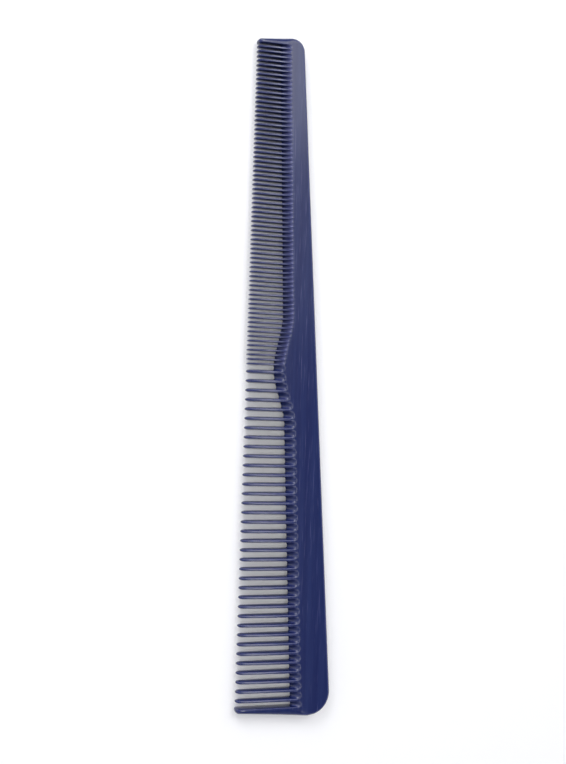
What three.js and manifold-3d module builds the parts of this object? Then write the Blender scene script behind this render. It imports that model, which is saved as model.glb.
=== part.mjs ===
// Barber's taper comb, moulded in one piece of navy plastic.
//
// Lengths are millimetres. The comb lies flat on one broad face: +X runs along the tooth tips from the narrow
// end to the heel, the teeth point to -Y, the spine's back is towards +Y and +Z is the thickness. The origin
// is under the middle of the comb's box, on the face it rests on.
//
// While it is being shaped, the tooth tips lie on y = 0 and the mould's parting plane, half way through the
// thickness, is z = 0. Everything is moved to the final origin at the end.

import * as THREE from 'three';
import { mergeVertices } from 'three/addons/utils/BufferGeometryUtils.js';
import Module from 'manifold-3d';

const wasm = await Module();
wasm.setup();

// ---- Driving dimensions ---------------------------------------------------------------------------------

const THICKNESS = 3.6; // over the two flat faces of the spine
const EDGE_ROUND = 0.4; // how far the rounding of the outer edge reaches in from the outline
const EDGE_DROP = 1.0; // how far it reaches down from each face

// The outline is a long quadrilateral with rounded corners: [x, y, corner radius], anticlockwise.
const OUTLINE = [
  [-88.6, 0.0, 0.5], // end of the tip guard
  [88.5, 0.0, 0.6], // end of the heel guard
  [90.45, 26.35, 6.2], // heel corner of the back
  [-90.2, 12.7, 3.6], // tip corner of the back
];

// Where the gaps between the teeth stop, at the parting plane: two straight runs joined by the hump that
// divides the fine bank from the coarse one.
const FINE_ROOT = { x: -88, y: 6.5 };
const FINE_ROOT_END = { x: -16, y: 9.6 };
const HUMP = { x: -2.2, y: 7.5 };
const COARSE_ROOT = { x: 13.5, y: 11.0 };
const COARSE_ROOT_END = { x: 88, y: 15.2 };

const BEVEL_WIDTH = 2.4; // from the root line back to where the groove runs out on the spine's face
const WEB_EDGE = 0.3; // thickness of the web's blunt edge at the root line

// The two banks of teeth. Half widths are measured at the parting plane and at the narrow crest on each face.
const FINE = {
  count: 70,
  first: -86.6,
  pitch: 1.21,
  root: { half: 0.37, crest: 0.22 },
  tip: { half: 0.33, crest: 0.19 },
  tipLength: 0.9,
};
const COARSE = {
  count: 36,
  first: -1.08,
  pitch: 2.47,
  root: { half: 0.6, crest: 0.36 },
  tip: { half: 0.55, crest: 0.32 },
  tipLength: 1.3,
};
const TIP_THICKNESS = 2.6; // of every tooth, just behind its rounded tip
const TIP_BLUNTNESS = 0.4; // size of the tooth's blunt end, over its size where the rounding starts
const TEETH_PER_RAKE = 7; // fine teeth that share one stretch of root web

const GUARD_GAP = 0.5; // clear space between the tip guard and the first fine tooth
const HEEL_GAP = 1.16; // clear space between the last coarse tooth and the heel guard
const GUARD_ROUND = 0.45; // radius of each guard's inner corner
const SEAM = 0.04; // hairline between neighbouring solids
const PARTING_CLEARANCE = 0.1; // from the web's blunt edge to where a coarse tooth starts
const OVERRUN = 0.3; // how far the web and the teeth run past the shoulder before they are trimmed to it
const PAST = 3; // how far a cutting shape reaches past what it cuts
const WELD = 1e-5; // points closer than this are one
const CORNER_FACETS = 4; // along each guard's inner corner
const OUTLINE_FACETS = 8; // along each corner of the outline

const NAVY = 0x272b63;

// ---- Solids and meshes ----------------------------------------------------------------------------------

function solidOf(geometry) {
  geometry.deleteAttribute('normal');
  geometry.deleteAttribute('uv');
  const merged = mergeVertices(geometry, WELD);
  return new wasm.Manifold(
    new wasm.Mesh({
      numProp: 3,
      vertProperties: merged.attributes.position.array,
      triVerts: Uint32Array.from(merged.index.array),
    }),
  );
}

function geometryOf(solid) {
  const { numProp, vertProperties, triVerts } = solid.getMesh();
  const geometry = new THREE.BufferGeometry();
  geometry.setAttribute('position', new THREE.InterleavedBufferAttribute(
    new THREE.InterleavedBuffer(vertProperties, numProp), 3, 0));
  geometry.setIndex(new THREE.BufferAttribute(triVerts, 1));
  return geometry;
}

// A solid through a row of closed rings that all have the same number of points, with flat ends.
function loft(rings) {
  const size = rings[0].length;
  const index = [];
  for (let ring = 0; ring + 1 < rings.length; ring += 1) {
    for (let i = 0; i < size; i += 1) {
      const a = ring * size + i;
      const b = ring * size + ((i + 1) % size);
      index.push(a, b, b + size, a, b + size, a + size);
    }
  }
  const last = (rings.length - 1) * size;
  for (let i = 1; i + 1 < size; i += 1) {
    index.push(0, i + 1, i);
    index.push(last, last + i, last + i + 1);
  }
  const geometry = new THREE.BufferGeometry().setFromPoints(rings.flat());
  geometry.setIndex(index);
  return solidOf(geometry);
}

// A plate of the given outline, centred on the parting plane and thick enough to cut right through the comb.
function cutter(shape) {
  const depth = THICKNESS + PAST;
  const options = { depth, bevelEnabled: false, curveSegments: CORNER_FACETS };
  const geometry = new THREE.ExtrudeGeometry(shape, options);
  geometry.translate(0, 0, -depth / 2);
  return solidOf(geometry);
}

// ---- Outline and root line ------------------------------------------------------------------------------

// A polygon with every corner rounded by an arc of its own radius.
function roundedShape(corners) {
  const shape = new THREE.Shape();
  corners.forEach(([x, y, radius], i) => {
    const corner = new THREE.Vector2(x, y);
    const [px, py] = corners.at(i - 1);
    const [nx, ny] = corners[(i + 1) % corners.length];
    const before = new THREE.Vector2(px, py).sub(corner).normalize();
    const after = new THREE.Vector2(nx, ny).sub(corner).normalize();
    const halfAngle = Math.acos(before.dot(after)) / 2;
    const inward = before.clone().add(after).normalize();
    const centre = corner.clone().addScaledVector(inward, radius / Math.sin(halfAngle));
    const reach = radius / Math.tan(halfAngle);
    const start = corner.clone().addScaledVector(before, reach).sub(centre).angle();
    const end = corner.clone().addScaledVector(after, reach).sub(centre).angle();
    shape.absarc(centre.x, centre.y, radius, start, end, false);
  });
  return shape;
}

function between(from, to, x) {
  return THREE.MathUtils.lerp(from.y, to.y, (x - from.x) / (to.x - from.x));
}

function easeBetween(from, to, x) {
  const t = (x - from.x) / (to.x - from.x);
  return THREE.MathUtils.lerp(from.y, to.y, t * t * (3 - 2 * t));
}

// How far from the tooth tips a gap at x stops, at the parting plane.
function rootY(x) {
  if (x < FINE_ROOT_END.x) return between(FINE_ROOT, FINE_ROOT_END, x);
  if (x < HUMP.x) return easeBetween(FINE_ROOT_END, HUMP, x);
  if (x < COARSE_ROOT.x) return easeBetween(HUMP, COARSE_ROOT, x);
  return between(COARSE_ROOT, COARSE_ROOT_END, x);
}

// Where the groove between two teeth runs out on the flat face.
function shoulderY(x) {
  return rootY(x) + BEVEL_WIDTH;
}

function toothX(bank, i) {
  return bank.first + i * bank.pitch;
}

const LAST_FINE_X = toothX(FINE, FINE.count - 1);
const LAST_COARSE_X = toothX(COARSE, COARSE.count - 1);
const DIVIDE_X = (LAST_FINE_X + FINE.root.half + COARSE.first - COARSE.root.half) / 2;
const TIP_GUARD_X = FINE.first - FINE.root.half - GUARD_GAP;
const HEEL_GUARD_X = LAST_COARSE_X + COARSE.root.half + HEEL_GAP;

// Where the shoulder and root lines are sampled: their ends, the ends of the hump and, over the hump, the
// middle of every gap.
function stations() {
  const xs = [];
  const onHump = (x) => x > FINE_ROOT_END.x && x < COARSE_ROOT.x;
  for (let i = 0; i + 1 < FINE.count; i += 1) xs.push(toothX(FINE, i) + FINE.pitch / 2);
  xs.push(DIVIDE_X);
  for (let i = 0; i + 1 < COARSE.count; i += 1) xs.push(toothX(COARSE, i) + COARSE.pitch / 2);
  return [TIP_GUARD_X, FINE_ROOT_END.x, ...xs.filter(onHump), COARSE_ROOT.x, HEEL_GUARD_X];
}

// ---- Spine and guards -----------------------------------------------------------------------------------

// The whole outline as a plate with its outer edge rounded, before the tooth field is cut out of it.
function blank() {
  const geometry = new THREE.ExtrudeGeometry(roundedShape(OUTLINE), {
    depth: THICKNESS - 2 * EDGE_DROP,
    bevelThickness: EDGE_DROP,
    bevelSize: EDGE_ROUND,
    bevelOffset: -EDGE_ROUND,
    bevelSegments: 2,
    curveSegments: OUTLINE_FACETS,
  });
  geometry.translate(0, 0, EDGE_DROP - THICKNESS / 2);
  return solidOf(geometry);
}

// Everything on the back's side of the shoulder line, moved by a shift along Y.
function backZone(shift) {
  const xs = stations();
  const shoulder = xs.map((x) => new THREE.Vector2(x, shoulderY(x) + shift));
  const far = OUTLINE[2][1] + PAST;
  const shape = new THREE.Shape([
    new THREE.Vector2(OUTLINE[3][0] - PAST, shoulder[0].y),
    ...shoulder,
    new THREE.Vector2(OUTLINE[2][0] + PAST, shoulder.at(-1).y),
    new THREE.Vector2(OUTLINE[2][0] + PAST, far),
    new THREE.Vector2(OUTLINE[3][0] - PAST, far),
  ]);
  return cutter(shape);
}

// Everything outside one end of the tooth field, on the tips' side of the shoulder line.
function guardZone(wallX, outerX) {
  const top = shoulderY(wallX) - SEAM;
  const shape = new THREE.Shape([
    new THREE.Vector2(outerX, -PAST),
    new THREE.Vector2(wallX, -PAST),
    new THREE.Vector2(wallX, top),
    new THREE.Vector2(outerX, top),
  ]);
  return cutter(shape);
}

// What is cut away to round the inner corner of a guard's tip: the square corner less a disc of its radius.
function innerCorner(wallX, side) {
  const centreX = wallX + side * GUARD_ROUND;
  const shape = new THREE.Shape();
  shape.moveTo(wallX - side * PAST, -PAST);
  shape.lineTo(centreX, -PAST);
  shape.lineTo(centreX, 0);
  shape.absarc(centreX, GUARD_ROUND, GUARD_ROUND, -Math.PI / 2, side > 0 ? -Math.PI : 0, side > 0);
  shape.lineTo(wallX - side * PAST, GUARD_ROUND);
  return cutter(shape);
}

function tipGuard(body) {
  return body.intersect(guardZone(TIP_GUARD_X, OUTLINE[0][0] - PAST)).subtract(innerCorner(TIP_GUARD_X, -1));
}

function heelGuard(body) {
  return body.intersect(guardZone(HEEL_GUARD_X, OUTLINE[1][0] + PAST)).subtract(innerCorner(HEEL_GUARD_X, 1));
}

// ---- Root web and teeth ---------------------------------------------------------------------------------

// A stretch of the bevelled web that closes the roots of the gaps: as thick as the spine at the shoulder and
// thinning to a blunt edge at the root line. It overruns the shoulder, where it is trimmed.
function web(fromX, toX) {
  const rise = (THICKNESS - WEB_EDGE) / 2 / BEVEL_WIDTH;
  const height = WEB_EDGE / 2 + rise * (BEVEL_WIDTH + OVERRUN);
  const inner = stations().filter((x) => x > fromX && x < toX);
  const rings = [fromX, ...inner, toX].map((x) => {
    const back = shoulderY(x) + OVERRUN;
    return [
      new THREE.Vector3(x, back, -height),
      new THREE.Vector3(x, back, height),
      new THREE.Vector3(x, rootY(x), WEB_EDGE / 2),
      new THREE.Vector3(x, rootY(x), -WEB_EDGE / 2),
    ];
  });
  return loft(rings);
}

// A tooth's six-sided section at a distance y from the tips: widest at the parting plane, narrow at the crest
// on each face, tapering in width and height towards the tip and rounded off over the last of its length.
function toothRing(bank, x, y) {
  const { root, tip, tipLength } = bank;
  const t = THREE.MathUtils.clamp((y - tipLength) / (shoulderY(x) - tipLength), 0, 1);
  const u = Math.max(0, 1 - y / tipLength);
  const round = THREE.MathUtils.lerp(TIP_BLUNTNESS, 1, Math.sqrt(1 - u * u));
  const half = THREE.MathUtils.lerp(tip.half, root.half, t) * round;
  const crest = THREE.MathUtils.lerp(tip.crest, root.crest, t) * round;
  const height = (THREE.MathUtils.lerp(TIP_THICKNESS, THICKNESS, t) / 2) * round;
  return [
    new THREE.Vector3(x - half, y, 0),
    new THREE.Vector3(x - crest, y, height),
    new THREE.Vector3(x + crest, y, height),
    new THREE.Vector3(x + half, y, 0),
    new THREE.Vector3(x + crest, y, -height),
    new THREE.Vector3(x - crest, y, -height),
  ];
}

// The stretch of a tooth between its rounded tip and toY.
function toothFromTip(bank, x, toY) {
  const ys = [0, bank.tipLength / 4, bank.tipLength, toY];
  return loft(ys.map((y) => toothRing(bank, x, y)));
}

// Where a coarse tooth parts from the web: just clear of the web's blunt edge.
function partingY(x) {
  return Math.min(rootY(x - COARSE.root.half), rootY(x + COARSE.root.half)) - PARTING_CLEARANCE;
}

// The buttress that carries a coarse tooth across the bevel of the web.
function buttress(x) {
  return loft([partingY(x) + SEAM, shoulderY(x) + OVERRUN].map((y) => toothRing(COARSE, x, y)));
}

function coarseRootWeb() {
  let solid = web(DIVIDE_X + SEAM / 2, HEEL_GUARD_X - SEAM / 2);
  for (let i = 0; i < COARSE.count; i += 1) solid = solid.add(buttress(toothX(COARSE, i)));
  return solid.subtract(backZone(-SEAM));
}

// A run of fine teeth on their shared stretch of web.
function fineRake(rake) {
  const first = rake * TEETH_PER_RAKE;
  const last = first + TEETH_PER_RAKE - 1;
  const fromX = first === 0 ? TIP_GUARD_X : toothX(FINE, first) - FINE.pitch / 2;
  const toX = last === FINE.count - 1 ? DIVIDE_X : toothX(FINE, last) + FINE.pitch / 2;
  let solid = web(fromX + SEAM / 2, toX - SEAM / 2);
  for (let i = first; i <= last; i += 1) {
    const x = toothX(FINE, i);
    solid = solid.add(toothFromTip(FINE, x, shoulderY(x) + OVERRUN));
  }
  return solid.subtract(backZone(-SEAM));
}

function coarseTooth(i) {
  const x = toothX(COARSE, i);
  return toothFromTip(COARSE, x, partingY(x));
}

// ---- Assembly -------------------------------------------------------------------------------------------

const comb = new THREE.Group();

function addPiece(name, solid) {
  const material = new THREE.MeshStandardMaterial({ color: NAVY, roughness: 0.28, metalness: 0 });
  const mesh = new THREE.Mesh(geometryOf(solid), material);
  mesh.name = name;
  comb.add(mesh);
}

function numbered(name, i) {
  return `${name}_${String(i + 1).padStart(2, '0')}`;
}

const body = blank();
addPiece('spine', body.intersect(backZone(0)));
addPiece('tip_guard', tipGuard(body));
addPiece('heel_guard', heelGuard(body));
addPiece('coarse_root_web', coarseRootWeb());

for (let rake = 0; rake < FINE.count / TEETH_PER_RAKE; rake += 1) {
  addPiece(numbered('fine_teeth', rake), fineRake(rake));
}

for (let i = 0; i < COARSE.count; i += 1) {
  addPiece(numbered('coarse_tooth', i), coarseTooth(i));
}

const middle = new THREE.Box3().setFromObject(comb).getCenter(new THREE.Vector3());
comb.position.set(-middle.x, -middle.y, THICKNESS / 2);

export default comb;
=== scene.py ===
"""Barber's taper comb: one glossy navy moulding with fine and coarse teeth, a solid back and two end guards.

Lengths are millimetres until a mesh is placed. In the mould's own axes x is the frame's x, y is measured
from the line of the tooth tips towards the back, and z from the parting plane, half way through the
thickness. The mould is the same on both sides of that plane, so each piece is built as its upper half and
mirrored.
"""

import logging
import math
from collections.abc import Sequence
from dataclasses import dataclass, field
from enum import Enum

import bmesh
import bpy
from mathutils import Matrix, Vector


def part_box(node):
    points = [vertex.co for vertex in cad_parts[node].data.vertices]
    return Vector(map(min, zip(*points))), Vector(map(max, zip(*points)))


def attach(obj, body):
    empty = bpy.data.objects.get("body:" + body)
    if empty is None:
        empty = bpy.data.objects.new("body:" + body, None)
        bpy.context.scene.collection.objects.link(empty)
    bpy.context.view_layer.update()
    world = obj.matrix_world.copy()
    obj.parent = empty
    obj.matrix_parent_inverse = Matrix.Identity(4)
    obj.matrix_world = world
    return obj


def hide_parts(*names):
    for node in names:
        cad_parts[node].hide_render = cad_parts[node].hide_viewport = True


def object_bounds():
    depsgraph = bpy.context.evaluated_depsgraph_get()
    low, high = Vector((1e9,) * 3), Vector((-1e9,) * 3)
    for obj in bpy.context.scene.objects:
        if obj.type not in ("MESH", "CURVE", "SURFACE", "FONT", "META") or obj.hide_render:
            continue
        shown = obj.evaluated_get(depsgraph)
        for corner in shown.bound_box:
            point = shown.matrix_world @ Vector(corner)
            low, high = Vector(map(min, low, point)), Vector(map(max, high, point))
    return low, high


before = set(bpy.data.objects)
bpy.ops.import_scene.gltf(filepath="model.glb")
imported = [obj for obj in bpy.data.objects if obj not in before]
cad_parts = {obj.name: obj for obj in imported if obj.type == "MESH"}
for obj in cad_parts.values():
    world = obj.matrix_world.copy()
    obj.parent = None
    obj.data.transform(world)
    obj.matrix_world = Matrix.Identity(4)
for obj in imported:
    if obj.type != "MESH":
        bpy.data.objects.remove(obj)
CAD_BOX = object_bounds()

log = logging.getLogger("comb")

MM = 0.001
SEAM = 0.04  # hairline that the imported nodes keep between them
WELD = 0.004  # points closer than this are one point of a mesh
SHARP = math.radians(50)  # edges turning by more than this stay crisp
EDGE_WEAR_AND_HIGHLIGHT = "edge_wear_and_highlight"  # point attribute: how much an edge stands out, which pales it both for rubbing and as a painted highlight
RUB_AND_HIGHLIGHT_TURNS = (math.radians(13), math.radians(32))  # turns of the surface where rubbing and the painted highlight start and are full
TEETH_PER_RAKE = 7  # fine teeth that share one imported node

Point = tuple[float, float, float]
Flat = tuple[float, float]


def lerp(start: float, end: float, t: float) -> float:
    """The value a share t of the way from start to end."""
    return start + (end - start) * t


def smooth(t: float) -> float:
    """An S-shaped ramp from 0 to 1, level at both ends."""
    t = min(max(t, 0.0), 1.0)
    return t * t * (3 - 2 * t)


def mix(start: Flat, end: Flat, t: float) -> Flat:
    """The point a share t of the way from start to end."""
    return (lerp(start[0], end[0], t), lerp(start[1], end[1], t))


class Side(Enum):
    """A direction along X, towards one end of the comb."""

    TIP = -1
    HEEL = 1


# ---- Where the moulding lies ------------------------------------------------------------------------------


@dataclass(frozen=True)
class Datums:
    """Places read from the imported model, in millimetres."""

    tip_y: float
    parting_z: float
    face: float
    divide_x: float
    tip_wall_x: float
    heel_wall_x: float
    end_x: tuple[float, float]
    back_y: float
    fine_x: tuple[float, ...]
    coarse_x: tuple[float, ...]

    @classmethod
    def from_frame(cls) -> "Datums":
        """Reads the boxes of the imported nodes.

        Returns:
            The datums. Fine teeth share nodes, so their pitch comes from where two such nodes begin.
        """
        low, high = CAD_BOX
        spine_low, spine_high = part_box("spine")
        nodes = sorted(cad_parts)
        rakes = [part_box(node)[0].x / MM - SEAM / 2 for node in nodes if node.startswith("fine_teeth")]
        teeth = [node for node in nodes if node.startswith("coarse_tooth")]
        coarse = [sum(corner.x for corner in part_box(node)) / 2 / MM for node in teeth]
        _, second, third, *_ = rakes
        pitch = (third - second) / TEETH_PER_RAKE
        first = second + pitch / 2 - TEETH_PER_RAKE * pitch
        return cls(
            tip_y=low.y / MM,
            parting_z=(low.z + high.z) / 2 / MM,
            face=(high.z - low.z) / 2 / MM,
            divide_x=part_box("coarse_root_web")[0].x / MM - SEAM / 2,
            tip_wall_x=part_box("tip_guard")[1].x / MM,
            heel_wall_x=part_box("heel_guard")[0].x / MM,
            end_x=(spine_low.x / MM, spine_high.x / MM),
            back_y=(spine_high.y - low.y) / MM,
            fine_x=tuple(first + i * pitch for i in range(TEETH_PER_RAKE * len(rakes))),
            coarse_x=tuple(coarse),
        )

    def place(self, point: Point) -> Vector:
        """A point in the mould's axes, moved to the frame, in metres."""
        x, y, z = point
        return Vector((x, y + self.tip_y, z + self.parting_z)) * MM


@dataclass(frozen=True)
class RootLine:
    """Where the gaps between the teeth end: two straight runs that meet in a hump at the divide.

    Places along X are measured from the divide, and heights from the line of the tooth tips.
    """

    divide_x: float
    fine_start: Flat = (-85.8, 6.5)
    fine_end: Flat = (-13.8, 9.6)
    hump: Flat = (0.0, 7.5)
    coarse_start: Flat = (15.7, 11.0)
    coarse_end: Flat = (90.2, 15.2)

    def y(self, x: float) -> float:
        """The height of the root line at x.

        Args:
            x: a place along the comb.

        Returns:
            The distance from the line of the tips to the end of a gap there.
        """
        along = x - self.divide_x
        if along < self.fine_end[0]:
            low, high, eased = self.fine_start, self.fine_end, False
        elif along < self.hump[0]:
            low, high, eased = self.fine_end, self.hump, True
        elif along < self.coarse_start[0]:
            low, high, eased = self.hump, self.coarse_start, True
        else:
            low, high, eased = self.coarse_start, self.coarse_end, False
        t = (along - low[0]) / (high[0] - low[0])
        return lerp(low[1], high[1], smooth(t) if eased else t)


@dataclass(frozen=True)
class EndEdge:
    """One end of the outline: a straight, leaning edge that a round corner joins to the back.

    Args:
        side: which end of the comb it is.
        centre: the centre of the corner's arc.
        radius: the radius of the arc.
        lean: how far the edge leans out from square towards the back, in radians.
    """

    side: Side
    centre: Flat
    radius: float
    lean: float

    def inset(self, y: float, reach: float) -> tuple[Flat, Flat]:
        """A point that lies inside the outline, and the outward direction there.

        Args:
            y: the height of the point.
            reach: how far inside the outline it lies.

        Returns:
            The point and the unit normal of the outline nearest to it.
        """
        normal = (self.side.value * math.cos(self.lean), -math.sin(self.lean))
        radius = self.radius - reach
        if y <= self.centre[1] + radius * normal[1]:
            offset = normal[0] * self.centre[0] + normal[1] * self.centre[1] + radius
            return ((offset - normal[1] * y) / normal[0], y), normal
        rise = y - self.centre[1]
        run = self.side.value * math.sqrt(radius * radius - rise * rise)
        return (self.centre[0] + run, y), (run / radius, rise / radius)


@dataclass(frozen=True)
class Outline:
    """The comb's outer edge: two end edges and the slanting back between their corners."""

    datums: Datums
    tip_radius: float = 3.6
    tip_rise: float = 9.4  # from the line of the tooth tips to the centre of the narrow end's corner
    tip_lean: float = math.radians(7.2)
    heel_radius: float = 6.2
    heel_lean: float = math.radians(4.2)

    @property
    def tip(self) -> EndEdge:
        """The edge at the narrow end."""
        centre = (self.datums.end_x[0] + self.tip_radius, self.tip_rise)
        return EndEdge(Side.TIP, centre, self.tip_radius, self.tip_lean)

    @property
    def heel(self) -> EndEdge:
        """The edge at the wide end."""
        centre = (self.datums.end_x[1] - self.heel_radius, self.datums.back_y - self.heel_radius)
        return EndEdge(Side.HEEL, centre, self.heel_radius, self.heel_lean)

    def back_inset(self, x: float, reach: float) -> tuple[Flat, Flat]:
        """The point inside the back or a corner at x, and the outward direction there.

        Args:
            x: a place along the comb.
            reach: how far inside the outline the point lies.

        Returns:
            The point and the unit normal of the outline nearest to it.
        """
        tip, heel = self.tip, self.heel
        run = heel.centre[0] - tip.centre[0]
        rise = heel.centre[1] - tip.centre[1]
        span = math.hypot(run, rise)
        turn = math.atan2(rise, run) + math.acos((tip.radius - heel.radius) / span)
        normal = (math.cos(turn), math.sin(turn))
        for end in (tip, heel):
            radius = end.radius - reach
            along = x - end.centre[0]
            if end.side.value * (along - radius * normal[0]) > 0:
                along = min(max(along, -radius), radius)
                up = math.sqrt(radius * radius - along * along)
                return (end.centre[0] + along, end.centre[1] + up), (along / radius, up / radius)
        radius = tip.radius - reach
        offset = normal[0] * tip.centre[0] + normal[1] * tip.centre[1] + radius
        return (x, (offset - normal[0] * x) / normal[1]), normal


# ---- Mesh building ----------------------------------------------------------------------------------------


class HalfShell:
    """The upper half of a piece, which is closed by its mirror image below the parting plane."""

    def __init__(self, datums: Datums) -> None:
        """Starts an empty shell that will be placed by the datums."""
        self.datums = datums
        self.mesh = bmesh.new()

    def add(self, rows: Sequence[Sequence[Point]]) -> None:
        """Adds a sheet of quads.

        Args:
            rows: rows of points in the mould's axes, all equally long.
        """
        grid = [[self.mesh.verts.new(point) for point in row] for row in rows]
        for lower, upper in zip(grid, grid[1:]):
            for i in range(len(lower) - 1):
                self.mesh.faces.new((lower[i], lower[i + 1], upper[i + 1], upper[i]))

    @staticmethod
    def exposure(vert: bmesh.types.BMVert) -> float:
        """How much a point stands out, which sets how far it is paled by rubbing and by a painted highlight.

        Args:
            vert: the point.

        Returns:
            A share from 0 on flats and in wide curves to 1 where the surface turns tightly.
        """
        least, full = RUB_AND_HIGHLIGHT_TURNS
        turn = max(abs(edge.calc_face_angle_signed(0.0)) for edge in vert.link_edges)
        return min(max(turn - least, 0.0) / (full - least), 1.0)

    def close(self, name: str) -> bpy.types.Object:
        """Mirrors the sheets about the parting plane and walls in every open edge.

        Args:
            name: the name of the new object.

        Returns:
            The closed piece, in the frame's place and in metres.
        """
        shell = self.mesh
        wear_and_highlight_layer = shell.verts.layers.float.new(EDGE_WEAR_AND_HIGHLIGHT)
        bmesh.ops.remove_doubles(shell, verts=shell.verts[:], dist=WELD)
        bmesh.ops.dissolve_degenerate(shell, edges=shell.edges[:], dist=WELD)
        upper_faces = shell.faces[:]
        rim = [edge for edge in shell.edges if edge.is_boundary]
        bmesh.ops.recalc_face_normals(shell, faces=shell.faces[:])
        # Painted highlight, in part: how much each point stands out is stored to pale crests and edges,
        # standing in for the bright lines that light draws along them as well as for rubbing.
        for vert in shell.verts:
            vert[wear_and_highlight_layer] = self.exposure(vert)
        below = {vert: shell.verts.new((vert.co.x, vert.co.y, -vert.co.z)) for vert in shell.verts[:]}
        for vert, mirrored in below.items():
            mirrored[wear_and_highlight_layer] = vert[wear_and_highlight_layer]
        for face in upper_faces:
            shell.faces.new([below[vert] for vert in reversed(face.verts)])
        for edge in rim:
            first, second = edge.verts
            shell.faces.new((first, second, below[second], below[first]))
        bmesh.ops.recalc_face_normals(shell, faces=shell.faces[:])
        for vert in shell.verts:
            vert.co = self.datums.place(tuple(vert.co))
        for face in shell.faces:
            face.smooth = True
        data = bpy.data.meshes.new(name)
        shell.to_mesh(data)
        shell.free()
        data.set_sharp_from_angle(angle=SHARP)
        piece = bpy.data.objects.new(name, data)
        bpy.context.scene.collection.objects.link(piece)
        return piece


# ---- Teeth ------------------------------------------------------------------------------------------------

BORDER = 4.5  # from the root line back to where the spine's piece takes over
GROOVE = 2.7  # from the root line back to where the groove between two teeth runs out
LEVEL = 1.2  # from the root line back to where the crests reach the spine's face
LAND = 0.05  # half height of the thin upright band at the parting line
CORNERS = (0.5, 0.9)  # share of the run where the slope would reach the top: a flank's and the bevel's
STRAIGHTS = (0.85, 0.92)  # share of that slope that stays straight, below its rounded edge
DROOP = 1.7  # power of the crest's fall: 1 would be straight, and more keeps it for the tip
FOLLOW_FROM = 0.5  # share of a gap's depth where a tooth begins to lean with the root line
SLOPE_STEPS = 3  # quads up the straight part of a flank or bevel
BRINK_STEPS = 4  # quads round the edge above it
TOP_SHARES = (0.1, 0.2, 1.0)  # where the mesh is cut between that edge and the crest or the border


def slope_section(bevel: float) -> list[Flat]:
    """The section from the parting line up to the brink of a tooth's top or of the groove.

    Args:
        bevel: 0 for a tooth's steep flank, 1 for the shallow bevel where the groove runs out.

    Returns:
        Pairs of a share of the run and a share of the height: a straight slope, then a rounded edge.
    """
    corner = lerp(*CORNERS, bevel)
    straight = lerp(*STRAIGHTS, bevel)
    points = []
    for k in range(SLOPE_STEPS + 1):
        points.append((corner * straight * k / SLOPE_STEPS, straight * k / SLOPE_STEPS))
    for k in range(1, BRINK_STEPS + 1):
        t = k / BRINK_STEPS
        run = lerp(lerp(corner * straight, corner, t), lerp(corner, 1.0, t), t)
        points.append((run, lerp(lerp(straight, 1.0, t), 1.0, t)))
    return points


@dataclass(frozen=True)
class Blade:
    """The sizes of one kind of tooth, in millimetres.

    Args:
        root_half: half its width at the root.
        tip_half: half its width behind its rounded tip.
        tip_height: half its thickness there.
        tip_length: how far back the rounding of the tip reaches.
        slot_radius: the radius of the corners where a gap ends.
        top_share: half the width of its top over half its width at the parting line.
    """

    root_half: float
    tip_half: float
    tip_height: float
    tip_length: float
    slot_radius: float
    top_share: float


@dataclass(frozen=True)
class Station:
    """One line of the mesh across half a tooth, as distances from its middle line and from the tips.

    Args:
        edge: where the line starts, on the edge of the tooth or gap at the parting line.
        brink: where it reaches the top.
        end: where it ends, on the tooth's middle line or on the border.
        bevel: 0 for a flank's section, 1 for the bevel's.
        scale: how much of its full height it has, which is less at a rounded tip.
    """

    edge: Flat
    brink: Flat
    end: Flat
    bevel: float = 0.0
    scale: float = 1.0


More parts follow.
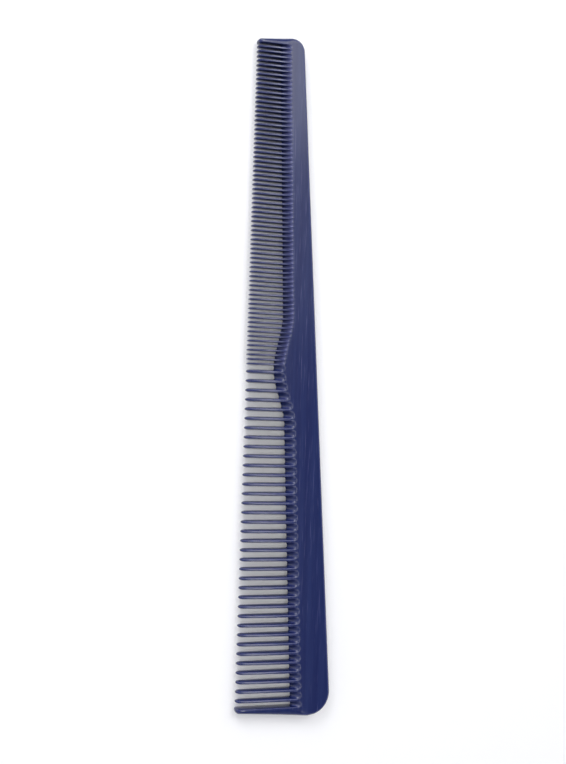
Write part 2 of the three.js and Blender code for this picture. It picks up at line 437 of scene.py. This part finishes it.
@dataclass(frozen=True)
class ToothSide:
    """One side of a tooth, from its middle line to the middle of the gap beside it.

    Args:
        blade: the sizes of the tooth.
        x: its middle line.
        side: the end of the comb that this side faces.
        reach: from the middle line to the middle of the gap.
        roots: the root line.
        face: half the thickness of the spine.
    """

    blade: Blade
    x: float
    side: Side
    reach: float
    roots: RootLine
    face: float

    @property
    def corner(self) -> float:
        """The radius of the gap's corner, which is round all the way in a narrow gap."""
        return min(self.blade.slot_radius, self.reach - self.blade.root_half)

    @property
    def root(self) -> float:
        """How far from the tips the gap ends, measured at the tooth's middle line."""
        return self.roots.y(self.x)

    def half_width(self, y: float) -> float:
        """Half the tooth's width.

        Args:
            y: the distance from the tips.

        Returns:
            Half the width there, at the parting line.
        """
        start = self.blade.tip_length
        t = min(max((y - start) / (self.root - start), 0.0), 1.0)
        return lerp(self.blade.tip_half, self.blade.root_half, t)

    def top(self, y: float) -> float:
        """The height of the top over the parting plane.

        Args:
            y: the distance from the tips.

        Returns:
            The height: that of the spine's face at the root, and from there curving down towards the tip.
        """
        start, level = self.blade.tip_length, self.root + LEVEL
        t = min(max((y - start) / (level - start), 0.0), 1.0)
        return self.face - (self.face - self.blade.tip_height) * (1 - t) ** DROOP

    def follow(self, x: float, y: float) -> float:
        """Shifts a height so that it keeps step with the slope of the root line.

        Args:
            x: a place along the comb.
            y: a distance from the tips.

        Returns:
            The shifted distance: unchanged near the tips, and shifted in full from the root on.
        """
        share = smooth((y / self.root - FOLLOW_FROM) / (1 - FOLLOW_FROM))
        return y + (self.roots.y(x) - self.root) * share

    def tip_stations(self) -> list[Station]:
        """The lines round the rounded tip.

        Returns:
            Stations from the blunt end, where the rounding has already turned a little, to the flank.
        """
        count = 6
        blunt = math.radians(20)
        stations = []
        for i in range(count):
            turn = lerp(blunt, math.pi / 2, i / count)
            y = self.blade.tip_length * (math.cos(blunt) - math.cos(turn)) / math.cos(blunt)
            scale = math.sin(turn)
            half = self.half_width(y) * scale
            stations.append(Station((half, y), (half * self.blade.top_share, y), (0.0, y), scale=scale))
        return stations

    def flank_stations(self) -> list[Station]:
        """The lines along the straight flank.

        Returns:
            Stations from the rounding of the tip to the corner of the gap.
        """
        count = 8
        stations = []
        for i in range(count + 1):
            y = lerp(self.blade.tip_length, self.root - self.corner, i / count)
            half = self.half_width(y)
            stations.append(Station((half, y), (half * self.blade.top_share, y), (0.0, y)))
        return stations

    def slot_end(self, t: float) -> Flat:
        """A point on the end of the gap.

        Args:
            t: the share of the way round its corner and on to its middle.

        Returns:
            The distances from the tooth's middle line and from the tips.
        """
        half = self.half_width(self.root - self.corner)
        arc = self.corner * math.pi / 2
        flat = max(self.reach - half - self.corner, 0.0)
        along = t * (arc + flat)
        if along > arc:
            return (half + self.corner + along - arc, self.root)
        turn = along / self.corner
        return (
            half + self.corner * (1 - math.cos(turn)),
            self.root - self.corner * (1 - math.sin(turn)),
        )

    def groove_end(self, t: float) -> Flat:
        """A point on the brink of the groove behind the gap.

        Args:
            t: the share of the way along it and round its end.

        Returns:
            The distances from the tooth's middle line and from the tips.
        """
        half = self.half_width(self.root - self.corner) * self.blade.top_share
        radius = self.reach - half
        straight = self.corner + GROOVE - radius
        along = t * (straight + radius * math.pi / 2)
        if along < straight:
            return (half, self.root - self.corner + along)
        turn = (along - straight) / radius
        return (half + radius * (1 - math.cos(turn)), self.root + GROOVE - radius * (1 - math.sin(turn)))

    def root_stations(self) -> list[Station]:
        """The lines round the corner of the gap and across its end.

        Returns:
            Stations whose far ends first follow the tooth's middle line back and then the border.
        """
        behind, across = 6, 4
        ends = [(0.0, self.root + BORDER * k / behind) for k in range(1, behind + 1)]
        ends += [(self.reach * k / across, self.root + BORDER) for k in range(1, across + 1)]
        stations = []
        for i, end in enumerate(ends, start=1):
            t = i / len(ends)
            stations.append(Station(self.slot_end(t), self.groove_end(t), end, smooth(t)))
        return stations

    def row(self, station: Station) -> list[Point]:
        """The points of one line of the mesh.

        Args:
            station: the line.

        Returns:
            Its points, from the edge to the far end. Near the root they follow the slope of the root line.
        """
        brink_height = self.top(station.brink[1]) * station.scale
        across = []
        for run, rise in slope_section(station.bevel):
            across.append((*mix(station.edge, station.brink, run), lerp(LAND, brink_height, rise)))
        for share in TOP_SHARES:
            u, y = mix(station.brink, station.end, share)
            across.append((u, y, self.top(y) * station.scale))
        points = []
        for u, y, z in across:
            x = self.x + self.side.value * u
            points.append((x, self.follow(x, y), z))
        return points

    def blade_rows(self) -> list[list[Point]]:
        """The free part of the tooth, from its tip to the corner of the gap."""
        return [self.row(station) for station in self.tip_stations() + self.flank_stations()]

    def root_rows(self) -> list[list[Point]]:
        """The part that joins the spine, from the corner of the gap to the border."""
        return [self.row(station) for station in self.flank_stations()[-1:] + self.root_stations()]

    def border(self) -> list[Point]:
        """The points on the border, from the middle line to the middle of the gap."""
        level = self.root + BORDER - WELD
        return [self.row(station)[-1] for station in self.root_stations() if station.end[1] > level]


@dataclass(frozen=True)
class Tooth:
    """A tooth with its two sides."""

    left: ToothSide
    right: ToothSide

    @classmethod
    def between(cls, blade: Blade, x: float, gaps: Flat, roots: RootLine, face: float) -> "Tooth":
        """A tooth that fills the cell between the middles of its two gaps.

        Args:
            blade: the sizes of the tooth.
            x: its middle line.
            gaps: the middles of the gaps before and after it.
            roots: the root line.
            face: half the thickness of the spine.

        Returns:
            The tooth.
        """
        left = ToothSide(blade, x, Side.TIP, x - gaps[0], roots, face)
        right = ToothSide(blade, x, Side.HEEL, gaps[1] - x, roots, face)
        return cls(left, right)

    def add_blade(self, shell: HalfShell) -> None:
        """Adds the free part of the tooth to a shell."""
        shell.add(self.left.blade_rows())
        shell.add(self.right.blade_rows())

    def add_root(self, shell: HalfShell) -> None:
        """Adds the tooth's part of the root web to a shell."""
        shell.add(self.left.root_rows())
        shell.add(self.right.root_rows())

    def border(self) -> list[Point]:
        """The points on the border, in order along X."""
        return self.left.border()[::-1] + self.right.border()[1:]


# ---- Guards and spine -------------------------------------------------------------------------------------

RIM_REACH = 0.8  # how far the rounding of the outer edge reaches in from the outline
RIM_STEPS = 6  # quads across that rounding
GUARD_HALF = 0.45  # from a guard's inner wall to its crest line


def rim_points(inner: Flat, normal: Flat, reach: float, height: float, slope: float = 0.0) -> list[Point]:
    """The rounded outer edge, from the face down to the parting line.

    Args:
        inner: where the rounding begins on the face.
        normal: the outward direction there.
        reach: how far it reaches.
        height: the height of the face over the parting plane.
        slope: how steeply the face already falls there.

    Returns:
        The points of a quarter ellipse, without the one on the face.
    """
    points = []
    first = math.atan(slope * reach / height)
    for k in range(1, RIM_STEPS + 1):
        turn = lerp(first, math.pi / 2, k / RIM_STEPS)
        out = reach * (math.sin(turn) - math.sin(first)) / (1 - math.sin(first))
        up = lerp(LAND, height, math.cos(turn) / math.cos(first))
        points.append((inner[0] + normal[0] * out, inner[1] + normal[1] * out, up))
    return points


@dataclass(frozen=True)
class Guard:
    """The thick end tooth at one end of the comb.

    Args:
        end: the end of the outline that it follows.
        inner: the side that faces the teeth, from the guard's crest line to the middle of the gap.
        crown: how far its top falls from the crest line to where the rim begins, over that width.
    """

    end: EndEdge
    inner: ToothSide
    crown: float = 0.2

    @classmethod
    def beside(cls, end: EndEdge, wall: float, tooth: float, datums: Datums, roots: RootLine) -> "Guard":
        """A guard between the end of the comb and its outermost tooth.

        Args:
            end: the end of the outline.
            wall: the x of the guard's inner wall.
            tooth: the x of the outermost tooth's wall.
            datums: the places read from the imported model.
            roots: the root line.

        Returns:
            The guard.
        """
        blade = Blade(
            root_half=GUARD_HALF,
            tip_half=GUARD_HALF,
            tip_height=datums.face,
            tip_length=0.9,
            slot_radius=0.4,
            top_share=0.5,
        )
        inward = Side(-end.side.value)
        reach = GUARD_HALF + abs(tooth - wall) / 2
        crest = wall + end.side.value * GUARD_HALF
        return cls(end, ToothSide(blade, crest, inward, reach, roots, datums.face))

    def outer_row(self, station: Station) -> list[Point]:
        """The points from the crest line out to the rim, level with one line of the inner side.

        Args:
            station: that line, which ends on the crest line.

        Returns:
            The row of points.
        """
        steps = 5
        x = self.inner.x
        y = station.end[1]
        height = self.inner.top(y)
        (outline_x, _), _ = self.end.inset(y, 0.0)
        reach = min(RIM_REACH, abs(outline_x - x) / 2)
        (rim_x, _), _ = self.end.inset(y, reach)
        inner, normal = self.end.inset(self.inner.follow(rim_x, y), reach)
        width = abs(inner[0] - x)
        drop = self.crown * width * (1 - smooth((y - self.inner.root) / BORDER))
        row = []
        for k in range(steps + 1):
            t = k / steps
            row.append((lerp(x, inner[0], t), lerp(y, inner[1], t), height - drop * t * t))
        row += rim_points(inner, normal, reach, height - drop, 2 * drop / width)
        level = min(y / self.inner.blade.tip_length, 1.0)
        return [(lerp(x, px, station.scale), lerp(y, py, level), pz * station.scale) for px, py, pz in row]

    def stations(self) -> list[Station]:
        """The lines of the inner side that end on the crest line, up to the border."""
        lines = self.inner.tip_stations() + self.inner.flank_stations() + self.inner.root_stations()
        return [line for line in lines if line.end[0] == 0.0]

    def border(self) -> list[Point]:
        """The flat points on the border, from the rim to the middle of the gap."""
        outer = self.outer_row(self.stations()[-1])[:-RIM_STEPS]
        return outer[:0:-1] + self.inner.border()

    def build(self, name: str, datums: Datums) -> bpy.types.Object:
        """Builds the guard.

        Args:
            name: the name of the piece.
            datums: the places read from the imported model.

        Returns:
            The guard as a closed piece.
        """
        shell = HalfShell(datums)
        shell.add(self.inner.blade_rows())
        shell.add(self.inner.root_rows())
        shell.add([self.outer_row(station) for station in self.stations()])
        return shell.close(name)


@dataclass(frozen=True)
class Spine:
    """The solid back of the comb, from the border of the teeth to the outline."""

    outline: Outline
    datums: Datums

    def build(self, name: str, border: Sequence[Point]) -> bpy.types.Object:
        """Builds the spine on the line of points that the teeth and guards end on.

        Args:
            name: the name of the piece.
            border: those points, in order along X.

        Returns:
            The spine as a closed piece.
        """
        shares = (0.0, 0.1, 0.3, 0.5, 0.7, 0.9, 0.97, 1.0)  # of the way from the border to the rim
        columns = []
        for x, y, z in border:
            top, normal = self.outline.back_inset(x, RIM_REACH)
            column = [(x, lerp(y, top[1], share), z) for share in shares]
            columns.append(column + rim_points(top, normal, RIM_REACH, z))
        shell = HalfShell(self.datums)
        shell.add(columns)
        return shell.close(name)


# ---- Finish -----------------------------------------------------------------------------------------------


def linear(colour: str) -> tuple[float, float, float, float]:
    """A colour for a shader.

    Args:
        colour: an sRGB hex value, such as "#20245c".

    Returns:
        The linear red, green, blue and an alpha of 1.
    """
    channels = [int(colour[i : i + 2], 16) / 255 for i in (1, 3, 5)]
    toned = [c / 12.92 if c <= 0.04045 else ((c + 0.055) / 1.055) ** 2.4 for c in channels]
    return (toned[0], toned[1], toned[2], 1.0)


def add_node(
    tree: bpy.types.NodeTree,
    kind: str,
    links: dict[str | int, bpy.types.NodeSocket] | None = None,
    values: dict[str | int, object] | None = None,
    **settings: object,
) -> bpy.types.Node:
    """Adds a node with its settings and links.

    Args:
        tree: the node tree.
        kind: the node's type.
        links: output sockets to link, by the input that each one feeds.
        values: constants, by input.
        settings: properties of the node.

    Returns:
        The new node.
    """
    node = tree.nodes.new(kind)
    for name, value in settings.items():
        setattr(node, name, value)
    for key, value in (values or {}).items():
        node.inputs[key].default_value = value
    for key, socket in (links or {}).items():
        tree.links.new(socket, node.inputs[key])
    return node


MIX_COLOURS = (6, 7)  # the colour inputs of a Mix node
MIX_RESULT = 2  # and its colour output


@dataclass(frozen=True)
class PolishedAbs:
    """Navy ABS, injection moulded in a polished tool and used for a while.

    The polished tool gives a glossy skin that is not quite flat. The melt leaves faint streaks along the
    spine where it flowed from the heel to the tip. Use leaves hairline scratches along the comb and a paler,
    duller skin on the crests and edges that get scuffed. That paler colour on the crests and edges is also a
    painted highlight: it stands in for the thin bright lines that light draws along them.
    """

    body: str = "#141f50"
    streak: str = "#1c2858"
    # pale lilac of scuffed plastic, which on crests and edges also serves as a painted highlight for the
    # thin bright lines that light draws along them
    rubbed_and_highlight: str = "#7a7cb4"
    roughness: float = 0.16
    dulled: float = 0.26
    ior: float = 1.53  # ABS is 1.52 to 1.54
    streak_mm: Flat = (45.0, 1.4)  # length and width of a flow streak
    scratch_mm: Flat = (9.0, 0.22)  # real ones are 0.02 mm wide, drawn wider so that they show
    ripple_mm: float = 5.0  # shrinkage ripples of the skin
    ripple_depth_mm: float = 0.04
    scratch_depth_mm: float = 0.01
    grain_mm: float = 1.6  # patches in the rubbing and the painted highlight on the edges
    soft_marks: Flat = (0.35, 0.65)  # noise values over which streaks and patches come in
    sharp_marks: Flat = (0.6, 0.75)  # and scratches, which are rarer and crisper
    flat_facing: Flat = (0.97, 0.995)  # how squarely a face looks up or down before scratches come in
    scratch_share: float = 0.45  # how strong a scratch is beside a fully exposed edge, which is paled by rubbing and painted highlight
    least_patch: float = 0.6  # how much of the paling on edges (rubbing and painted highlight) is left between patches
    bloom_and_highlight: float = 0.4  # how much of the pale lilac (rubbing and painted highlight) a fully exposed edge takes on

    def stretched_noise(self, tree: bpy.types.NodeTree, size: Flat, detail: float) -> bpy.types.NodeSocket:
        """Noise that is drawn out along the comb.

        Args:
            tree: the material's nodes.
            size: length and width of the shapes it draws, in millimetres.
            detail: how many finer layers it has.

        Returns:
            The socket of its value, from 0 to 1.
        """
        place = add_node(tree, "ShaderNodeTexCoord").outputs["Object"]
        scale = (1 / (size[0] * MM), 1 / (size[1] * MM), 1 / (size[1] * MM))
        mapped = add_node(tree, "ShaderNodeMapping", {"Vector": place}, {"Scale": scale})
        values = {"Scale": 1.0, "Detail": detail, "Roughness": 0.55}
        return add_node(tree, "ShaderNodeTexNoise", {"Vector": mapped.outputs[0]}, values).outputs[0]

    def band(
        self, tree: bpy.types.NodeTree, value: bpy.types.NodeSocket, source: Flat, to: Flat
    ) -> bpy.types.NodeSocket:
        """A value mapped from one range to another and kept inside it.

        Args:
            tree: the material's nodes.
            value: the socket of the value.
            source: the range that it is mapped from.
            to: the range that it is mapped to.

        Returns:
            The socket of the mapped value.
        """
        ranges = {"From Min": source[0], "From Max": source[1], "To Min": to[0], "To Max": to[1]}
        return add_node(tree, "ShaderNodeMapRange", {"Value": value}, ranges).outputs[0]

    def combine(
        self, tree: bpy.types.NodeTree, first: bpy.types.NodeSocket, second: bpy.types.NodeSocket, how: str
    ) -> bpy.types.NodeSocket:
        """Two values worked into one.

        Args:
            tree: the material's nodes.
            first: the socket of one value.
            second: the socket of the other.
            how: the operation of a Math node.

        Returns:
            The socket of the result.
        """
        return add_node(tree, "ShaderNodeMath", {0: first, 1: second}, operation=how).outputs[0]

    def scratches(self, tree: bpy.types.NodeTree) -> bpy.types.NodeSocket:
        """Hairline scratches along the flat faces, which a comb gets from lying on and sliding over a bench.

        Args:
            tree: the material's nodes.

        Returns:
            The socket of their strength.
        """
        normal = add_node(tree, "ShaderNodeTexCoord").outputs["Normal"]
        upright = add_node(tree, "ShaderNodeSeparateXYZ", {0: normal}).outputs["Z"]
        facing = add_node(tree, "ShaderNodeMath", {0: upright}, operation="ABSOLUTE").outputs[0]
        flat = self.band(tree, facing, self.flat_facing, (0.0, 1.0))
        lines = self.stretched_noise(tree, self.scratch_mm, 2.0)
        lines = self.band(tree, lines, self.sharp_marks, (0.0, self.scratch_share))
        return self.combine(tree, lines, flat, "MULTIPLY")

    def rub_and_highlight(self, tree: bpy.types.NodeTree) -> bpy.types.NodeSocket:
        """The patchy paling of crests and edges, partly from rubbing and partly a painted highlight for the
        thin bright lines that light draws along them; it fades out as the surface flattens.

        Args:
            tree: the material's nodes.

        Returns:
            The socket of its strength.
        """
        grain = self.stretched_noise(tree, (self.grain_mm, self.grain_mm), 3.0)
        patchy = self.band(tree, grain, self.soft_marks, (self.least_patch, 1.0))
        # The exposure attribute is partly a painted highlight: it pales crests and edges where light draws
        # bright lines.
        exposed = add_node(tree, "ShaderNodeAttribute", attribute_name=EDGE_WEAR_AND_HIGHLIGHT).outputs["Fac"]
        return self.combine(tree, exposed, patchy, "MULTIPLY")

    def colour(self, tree: bpy.types.NodeTree, marks_and_highlight: bpy.types.NodeSocket) -> bpy.types.NodeSocket:
        """Navy with faint flow streaks, paler along scratches, scuffs and the painted highlight on crests
        and edges.

        Args:
            tree: the material's nodes.
            marks_and_highlight: the strength of scratches, rubbing and the painted highlight on crests and
                edges.

        Returns:
            The socket of the colour.
        """
        below, above = MIX_COLOURS
        streaks = self.stretched_noise(tree, self.streak_mm, 3.0)
        streaks = self.band(tree, streaks, self.soft_marks, (0.0, 1.0))
        ends = {below: linear(self.body), above: linear(self.streak)}
        flow = add_node(tree, "ShaderNodeMix", {0: streaks}, ends, data_type="RGBA").outputs[MIX_RESULT]
        # Painted highlight, in part: paling towards the pale lilac on crests and edges stands in for light
        # as well as for scuffs and scratches.
        paling = self.band(tree, marks_and_highlight, (0.0, 1.0), (0.0, self.bloom_and_highlight))
        rubbed_and_highlight = {above: linear(self.rubbed_and_highlight)}
        mixed = add_node(tree, "ShaderNodeMix", {0: paling, below: flow}, rubbed_and_highlight, data_type="RGBA")
        return mixed.outputs[MIX_RESULT]

    def skin(self, tree: bpy.types.NodeTree, scratches: bpy.types.NodeSocket) -> bpy.types.NodeSocket:
        """The relief of the surface: shallow ripples that bend reflections, with scratches cut into them.

        Args:
            tree: the material's nodes.
            scratches: the strength of the scratches.

        Returns:
            The socket of the shading normal.
        """
        ripple = self.stretched_noise(tree, (self.ripple_mm, self.ripple_mm), 1.0)
        swell = {"Strength": 0.5, "Distance": self.ripple_depth_mm * MM}
        cut = {"Strength": 0.4, "Distance": self.scratch_depth_mm * MM}
        rippled = add_node(tree, "ShaderNodeBump", {"Height": ripple}, swell).outputs[0]
        below = {"Height": scratches, "Normal": rippled}
        return add_node(tree, "ShaderNodeBump", below, cut, invert=True).outputs[0]

    def material(self) -> bpy.types.Material:
        """Builds the material.

        Returns:
            A material that any piece of the comb can be dressed in, because its pattern runs on from piece
            to piece.
        """
        material = bpy.data.materials.new("polished_navy_abs")
        material.use_nodes = True
        tree = material.node_tree
        tree.nodes.clear()
        scratches = self.scratches(tree)
        marks_and_highlight = self.combine(tree, self.rub_and_highlight(tree), scratches, "MAXIMUM")
        surface = {
            "Base Color": self.colour(tree, marks_and_highlight),
            "Roughness": self.band(tree, marks_and_highlight, (0.0, 1.0), (self.roughness, self.dulled)),
            "Normal": self.skin(tree, scratches),
        }
        shader = add_node(tree, "ShaderNodeBsdfPrincipled", surface, {"IOR": self.ior})
        add_node(tree, "ShaderNodeOutputMaterial", {"Surface": shader.outputs[0]})
        return material


# ---- Studio -----------------------------------------------------------------------------------------------


@dataclass(frozen=True)
class Softbox:
    """A soft rectangular light.

    Args:
        name: the name of the light.
        place: where it hangs, in metres.
        size: its width along X and its depth, in metres.
        power: its power in watts.
    """

    name: str
    place: Point
    size: Flat
    power: float

    def hang(self, aim: Vector) -> None:
        """Hangs the light with its width along X as far as it can be.

        Args:
            aim: the place that it is turned towards, in metres.
        """
        data = bpy.data.lights.new(self.name, "AREA")
        data.shape = "RECTANGLE"
        data.size, data.size_y = self.size
        data.energy = self.power
        light = bpy.data.objects.new(self.name, data)
        back = (Vector(self.place) - aim).normalized()
        along = (Vector((1.0, 0.0, 0.0)) - back * back.x).normalized()
        turn = Matrix((along, back.cross(along), back)).transposed().to_4x4()
        light.matrix_world = Matrix.Translation(self.place) @ turn
        bpy.context.scene.collection.objects.link(light)


@dataclass(frozen=True)
class Studio:
    """The camera over the comb's broad face, a pale floor and soft lights."""

    datums: Datums
    distance: float = 0.298  # from the lens to the aim, in metres
    tilt: float = math.radians(17)  # how far the camera leans out over the teeth
    roll: float = math.radians(2.03)  # how far it turns about its own axis
    lens: float = 52.96  # focal length on a 36 mm sensor
    aim: Point = (1.31, 10.2, 0.0)  # what the camera looks at, in the mould's axes
    floor_half: float = 4.0  # half the floor's side, in metres
    floor_drop: float = 0.0001  # how far the floor lies under the comb, so that their faces don't coincide
    floor_colour: str = "#e8e8ea"
    floor_glow: float = 0.14
    surround: str = "#e4e6ee"
    surround_low: Flat = (0.3, 0.8)  # upward part of a direction near the horizon, and the strength there
    surround_high: Flat = (0.85, 0.06)  # the same near the zenith
    softboxes: tuple[Softbox, ...] = (
        Softbox("sheen_softbox", (-0.68, 0.6, 1.0), (0.72, 0.9), 4.0),
        Softbox("bounce_softbox", (-0.44, 0.65, 1.02), (0.74, 0.8), 1.0),
        Softbox("lamp_softbox", (-0.6, 0.12, 1.0), (0.5, 0.2), 1.3),
        Softbox("strip_softbox", (0.0, 0.18, 1.0), (1.2, 0.1), 2.2),
        Softbox("side_softbox", (-0.45, -0.25, 0.4), (0.3, 0.3), 2.0),
        Softbox("key_softbox", (0.05, -0.4, 1.1), (0.5, 0.4), 1.9),
        Softbox("front_softbox", (-0.2, -1.1, 0.8), (0.9, 0.9), 1.8),
        Softbox("fill_softbox", (1.1, -0.3, 0.7), (0.8, 0.8), 1.2),
    )

    def place_camera(self) -> None:
        """Creates the camera and makes it the scene's."""
        lean_in, lean_up = math.sin(self.tilt), math.cos(self.tilt)
        turn_x, turn_y = math.sin(self.roll), math.cos(self.roll)
        forward = Vector((-lean_in * turn_x, lean_in * turn_y, -lean_up))
        right = Vector((-lean_up * turn_x, lean_up * turn_y, lean_in))
        up = Vector((-turn_y, -turn_x, 0.0))
        data = bpy.data.cameras.new("camera")
        data.lens = self.lens
        data.clip_start = 0.01
        camera = bpy.data.objects.new("camera", data)
        place = self.datums.place(self.aim) - forward * self.distance
        camera.matrix_world = Matrix.Translation(place) @ Matrix((right, up, -forward)).transposed().to_4x4()
        bpy.context.scene.collection.objects.link(camera)
        bpy.context.scene.camera = camera

    def lay_floor(self) -> None:
        """Lays a pale floor that glows faintly, as a light table does, so that the gaps stay pale."""
        half = self.floor_half
        shell = bmesh.new()
        corners = [(-half, -half), (half, -half), (half, half), (-half, half)]
        shell.faces.new([shell.verts.new((x, y, -self.floor_drop)) for x, y in corners])
        data = bpy.data.meshes.new("floor")
        shell.to_mesh(data)
        shell.free()
        floor = bpy.data.objects.new("floor", data)
        bpy.context.scene.collection.objects.link(floor)
        material = bpy.data.materials.new("pale_floor")
        material.use_nodes = True
        shader = material.node_tree.nodes["Principled BSDF"]
        shader.inputs["Base Color"].default_value = linear(self.floor_colour)
        shader.inputs["Roughness"].default_value = 0.9
        shader.inputs["Specular IOR Level"].default_value = 0.0
        shader.inputs["Emission Color"].default_value = linear("#ffffff")
        shader.inputs["Emission Strength"].default_value = self.floor_glow
        data.materials.append(material)

    def light(self) -> None:
        """Hangs the softboxes and sets a surround that is pale near the horizon and dim overhead."""
        for softbox in self.softboxes:
            softbox.hang(Vector((0.0, 0.0, 0.0)))
        world = bpy.data.worlds.new("surround")
        world.use_nodes = True
        tree = world.node_tree
        direction = add_node(tree, "ShaderNodeTexCoord").outputs["Generated"]
        height = add_node(tree, "ShaderNodeSeparateXYZ", {0: direction}).outputs["Z"]
        (low, bright), (high, dim) = self.surround_low, self.surround_high
        ranges = {"From Min": low, "From Max": high, "To Min": bright, "To Max": dim}
        strength = add_node(tree, "ShaderNodeMapRange", {"Value": height}, ranges).outputs[0]
        background = tree.nodes["Background"]
        background.inputs["Color"].default_value = linear(self.surround)
        tree.links.new(strength, background.inputs["Strength"])
        bpy.context.scene.world = world
        bpy.context.scene.view_settings.view_transform = "Standard"


# ---- Assembly ---------------------------------------------------------------------------------------------

FINE = Blade(
    root_half=0.37, tip_half=0.33, tip_height=1.3, tip_length=0.9, slot_radius=0.25, top_share=0.3
)
COARSE = Blade(
    root_half=0.6, tip_half=0.55, tip_height=1.3, tip_length=1.3, slot_radius=0.4, top_share=0.12
)


@dataclass
class Comb:
    """The whole moulding, piece by piece."""

    datums: Datums
    outline: Outline
    roots: RootLine
    finish: bpy.types.Material
    fine: list[Tooth] = field(default_factory=list)
    coarse: list[Tooth] = field(default_factory=list)
    guards: dict[Side, Guard] = field(default_factory=dict)

    def lay_out(self) -> None:
        """Works out every tooth and both guards."""
        xs = list(self.datums.fine_x + self.datums.coarse_x)
        fine_count = len(self.datums.fine_x)
        middles = [(before + after) / 2 for before, after in zip(xs, xs[1:])]
        middles[fine_count - 1] = self.datums.divide_x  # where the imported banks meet, not the middle
        first_wall = xs[0] - FINE.root_half
        last_wall = xs[-1] + COARSE.root_half
        ends = (self.datums.tip_wall_x, self.datums.heel_wall_x)
        middles = [(ends[0] + first_wall) / 2, *middles, (last_wall + ends[1]) / 2]
        for i, x in enumerate(xs):
            blade, bank = (FINE, self.fine) if i < fine_count else (COARSE, self.coarse)
            gaps = (middles[i], middles[i + 1])
            bank.append(Tooth.between(blade, x, gaps, self.roots, self.datums.face))
        tip = Guard.beside(self.outline.tip, ends[0], first_wall, self.datums, self.roots)
        heel = Guard.beside(self.outline.heel, ends[1], last_wall, self.datums, self.roots)
        self.guards = {Side.TIP: tip, Side.HEEL: heel}

    def hand_over(self, piece: bpy.types.Object, node: str) -> None:
        """Dresses a piece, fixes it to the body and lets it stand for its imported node.

        Args:
            piece: the finished piece.
            node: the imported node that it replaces.
        """
        piece.data.materials.append(self.finish)
        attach(piece, "root")
        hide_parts(node)
        log.info("%s: %d faces", piece.name, len(piece.data.polygons))

    def build_spine(self) -> None:
        """Builds the spine against the borders of everything that it carries."""
        border = self.guards[Side.TIP].border()
        for tooth in self.fine + self.coarse:
            border += tooth.border()
        border += self.guards[Side.HEEL].border()[::-1]
        border = [point for i, point in enumerate(border) if i == 0 or point[0] - border[i - 1][0] > WELD]
        self.hand_over(Spine(self.outline, self.datums).build("spine_moulding", border), "spine")

    def build_guards(self) -> None:
        """Builds the guard at each end."""
        for side, node in ((Side.TIP, "tip_guard"), (Side.HEEL, "heel_guard")):
            self.hand_over(self.guards[side].build(f"{node}_moulding", self.datums), node)

    def build_fine_teeth(self) -> None:
        """Builds the fine teeth, a rake at a time, each on its own stretch of root web."""
        for rake in range(len(self.fine) // TEETH_PER_RAKE):
            shell = HalfShell(self.datums)
            for tooth in self.fine[rake * TEETH_PER_RAKE : (rake + 1) * TEETH_PER_RAKE]:
                tooth.add_blade(shell)
                tooth.add_root(shell)
            node = f"fine_teeth_{rake + 1:02d}"
            self.hand_over(shell.close(f"{node}_moulding"), node)

    def build_coarse_teeth(self) -> None:
        """Builds the coarse teeth one by one, and the root web that carries them."""
        web = HalfShell(self.datums)
        for number, tooth in enumerate(self.coarse, start=1):
            shell = HalfShell(self.datums)
            tooth.add_blade(shell)
            tooth.add_root(web)
            node = f"coarse_tooth_{number:02d}"
            self.hand_over(shell.close(f"{node}_moulding"), node)
        self.hand_over(web.close("coarse_root_web_moulding"), "coarse_root_web")


def main() -> None:
    """Builds the studio and the comb."""
    logging.basicConfig(level=logging.INFO, format="%(message)s")
    datums = Datums.from_frame()
    studio = Studio(datums)
    studio.place_camera()
    studio.lay_floor()
    studio.light()
    comb = Comb(datums, Outline(datums), RootLine(datums.divide_x), PolishedAbs().material())
    comb.lay_out()
    comb.build_guards()
    comb.build_fine_teeth()
    comb.build_coarse_teeth()
    comb.build_spine()


if __name__ == "__main__":
    main()
